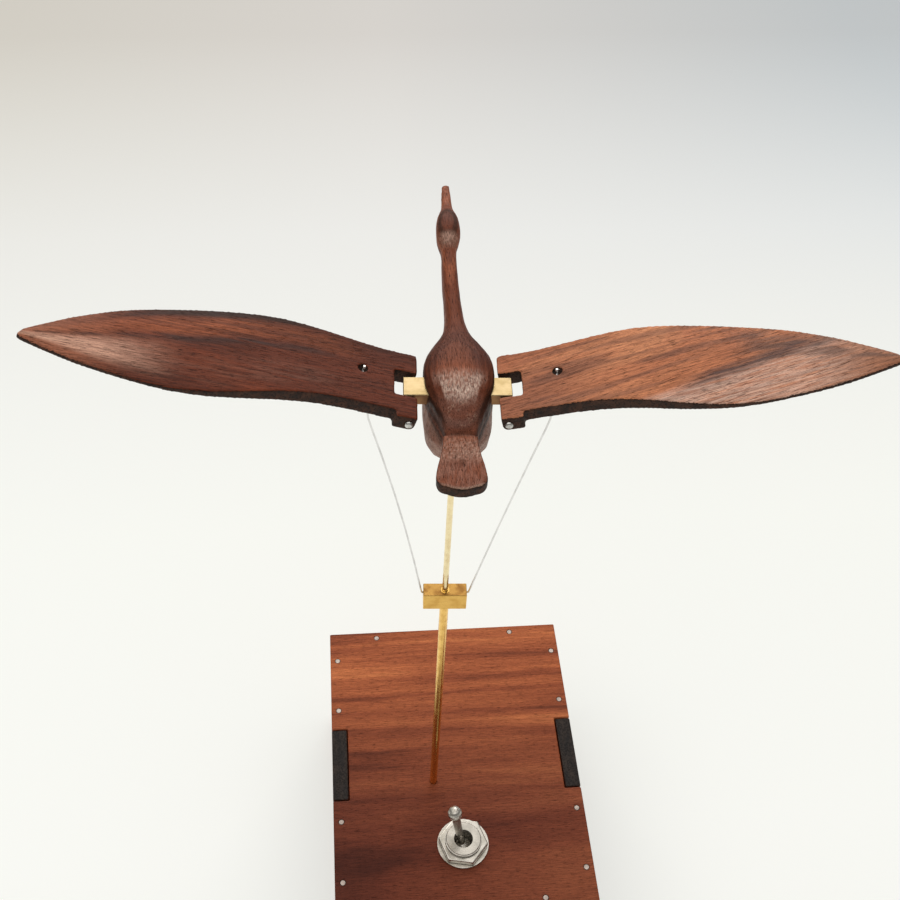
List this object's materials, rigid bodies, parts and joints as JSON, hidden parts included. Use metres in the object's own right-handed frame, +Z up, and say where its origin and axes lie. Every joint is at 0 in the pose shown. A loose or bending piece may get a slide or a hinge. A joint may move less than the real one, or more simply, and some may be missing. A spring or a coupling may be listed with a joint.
{
  "type": "wooden automaton",
  "caption": "Motor-driven wooden automaton: a carved bird on a brass rod rises and falls above a box and flaps its wings.",
  "frame": {"origin": "centre of the underside of the box", "axes": "+Z up; +Y is the way the bird flies, from the switch end of the box to its head end; +X towards the right wing"},
  "size_m": [0.184, 0.1156, 0.2694],
  "materials": {
    "box_wood": "oiled satin red-brown wood with dark streaks",
    "side_wood": "dark oiled wood, end grain at the tenons",
    "bird_wood": "carved and oiled dark brown wood",
    "left_wing_wood": "oiled dark red-brown wood",
    "right_wing_wood": "oiled orange-brown wood with grey streaks",
    "brass": "sawn and polished brass",
    "steel": "bright steel",
    "nickel": "nickel plate",
    "black_plastic": "moulded",
    "cell_sleeve": "plain grey sleeve",
    "red_lead": "wire insulation",
    "black_lead": "wire insulation"
  },
  "bodies": {
    "box": {"top_plate": "box_wood", "bottom_plate": "box_wood", "left_side_panel": "side_wood", "right_side_panel": "side_wood", "switch_end_panel": "box_wood", "head_end_panel": "box_wood", "top_pin_01": "steel", "top_pin_02": "steel", "top_pin_03": "steel", "top_pin_04": "steel", "top_pin_05": "steel", "top_pin_06": "steel", "top_pin_07": "steel", "top_pin_08": "steel", "top_pin_09": "steel", "top_pin_10": "steel", "top_pin_11": "steel", "top_pin_12": "steel", "bottom_screw_1": "steel", "bottom_screw_2": "steel", "bottom_screw_3": "steel", "bottom_screw_4": "steel", "guide_tube": "brass", "wire_block": "brass", "gearbox": "brass", "motor_can": "steel", "motor_end_cap": "black_plastic", "motor_mount": "box_wood", "motor_strap": "steel", "strap_screw_1": "steel", "strap_screw_2": "steel", "switch_nut": "nickel", "switch_washer": "nickel", "switch_frame": "nickel", "switch_case": "black_plastic", "switch_tag_1": "brass", "switch_tag_2": "brass", "battery_holder": "black_plastic", "battery_1": "cell_sleeve", "battery_2": "cell_sleeve", "lead_cell_to_switch": "red_lead", "lead_switch_to_motor": "red_lead", "lead_motor_to_cell": "black_lead"},
    "bird": {"bird_body": "bird_wood", "cross_bar": "brass", "lift_rod": "brass", "follower_clevis": "brass", "roller_pin": "steel"},
    "left_wing_and_pin": {"left_wing": "left_wing_wood", "left_hinge_pin": "steel"},
    "right_wing_and_pin": {"right_wing": "right_wing_wood", "right_hinge_pin": "steel"},
    "roller": {"follower_roller": "brass"},
    "cam_and_shaft": {"heart_cam": "box_wood", "output_shaft": "steel"},
    "left_wire": {"left_wing_wire": "steel"},
    "right_wire": {"right_wing_wire": "steel"},
    "toggle": {"switch_lever": "nickel"}
  },
  "joints": [
    {"name": "bird_lift", "type": "slide", "parent": "box", "child": "bird", "axis": [0, 0, 1], "range_m": [-0.0021, 0.0079]},
    {"name": "left_wing_flap", "type": "hinge", "parent": "bird", "child": "left_wing_and_pin", "pos_m": [-0.01898, -0.00742, 0.245], "axis": [0.0523, 0.9986, 0], "range_deg": [-42.6, 11.4]},
    {"name": "right_wing_flap", "type": "hinge", "parent": "bird", "child": "right_wing_and_pin", "pos_m": [0.00298, -0.00858, 0.245], "axis": [0.0523, 0.9986, 0], "range_deg": [-10.4, 38.9]},
    {"name": "cam_turn", "type": "hinge", "parent": "box", "child": "cam_and_shaft", "pos_m": [-0.008, -0.008, 0.0219], "axis": [0, -1, 0], "range_deg": [-37.9, 142.3]},
    {"name": "roller_spin", "type": "hinge", "parent": "bird", "child": "roller", "pos_m": [-0.008, -0.008, 0.033], "axis": [0, 1, 0], "continuous": true},
    {"name": "left_wire_tilt", "type": "hinge", "parent": "box", "child": "left_wire", "pos_m": [-0.01334, -0.00772, 0.1672], "axis": [0.0523, 0.9986, 0], "range_deg": [-0.6, 0.16]},
    {"name": "right_wire_tilt", "type": "hinge", "parent": "box", "child": "right_wire", "pos_m": [-0.00266, -0.00828, 0.1672], "axis": [0.0523, 0.9986, 0], "range_deg": [-0.07, 0.26]},
    {"name": "toggle_throw", "type": "hinge", "parent": "box", "child": "toggle", "pos_m": [0, -0.031, 0.0565], "axis": [0.6561, 0.7547, 0], "range_deg": [0, 25]}
  ],
  "couplings": [
    {"joint": "left_wing_flap", "follows": "bird_lift", "rad_per_m": -93.8},
    {"joint": "right_wing_flap", "follows": "bird_lift", "rad_per_m": 85.8},
    {"joint": "cam_turn", "follows": "bird_lift", "rad_per_m": 314.16},
    {"joint": "left_wire_tilt", "follows": "bird_lift", "rad_per_m": -1.3},
    {"joint": "right_wire_tilt", "follows": "bird_lift", "rad_per_m": 0.55}
  ]
}
